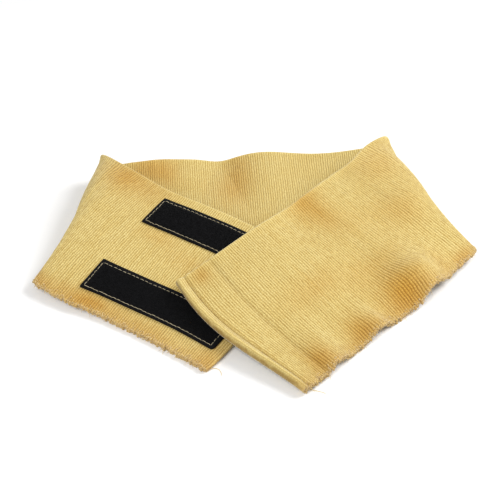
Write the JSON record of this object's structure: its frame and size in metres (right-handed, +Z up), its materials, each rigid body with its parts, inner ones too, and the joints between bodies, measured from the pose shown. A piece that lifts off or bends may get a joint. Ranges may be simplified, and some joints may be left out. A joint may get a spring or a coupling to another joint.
{
  "type": "cut-resistant neck guard",
  "caption": "Pale yellow rib-knit aramid neck guard, laid collapsed on its back, with black hook-and-loop strips that close the overlapping front ends around the neck.",
  "frame": {"origin": "under the middle of the guard as it lies, on the surface that it lies on", "axes": "+X to the right of the front view, from the left fold to the right fold; +Y from the overlapping front ends towards the smooth edge of the back; +Z up"},
  "size_m": [0.2584, 0.213, 0.0285],
  "materials": {
    "aramid_knit": "matt fine rib knit, pale straw yellow",
    "loop_tape": "black loop pile on woven tape",
    "hook_tape": "black moulded hooks on woven tape"
  },
  "bodies": {
    "root": {"band": "aramid_knit", "loop_strip_lower": "loop_tape", "loop_strip_upper": "loop_tape", "hook_strip": "hook_tape"}
  },
  "joints": []
}
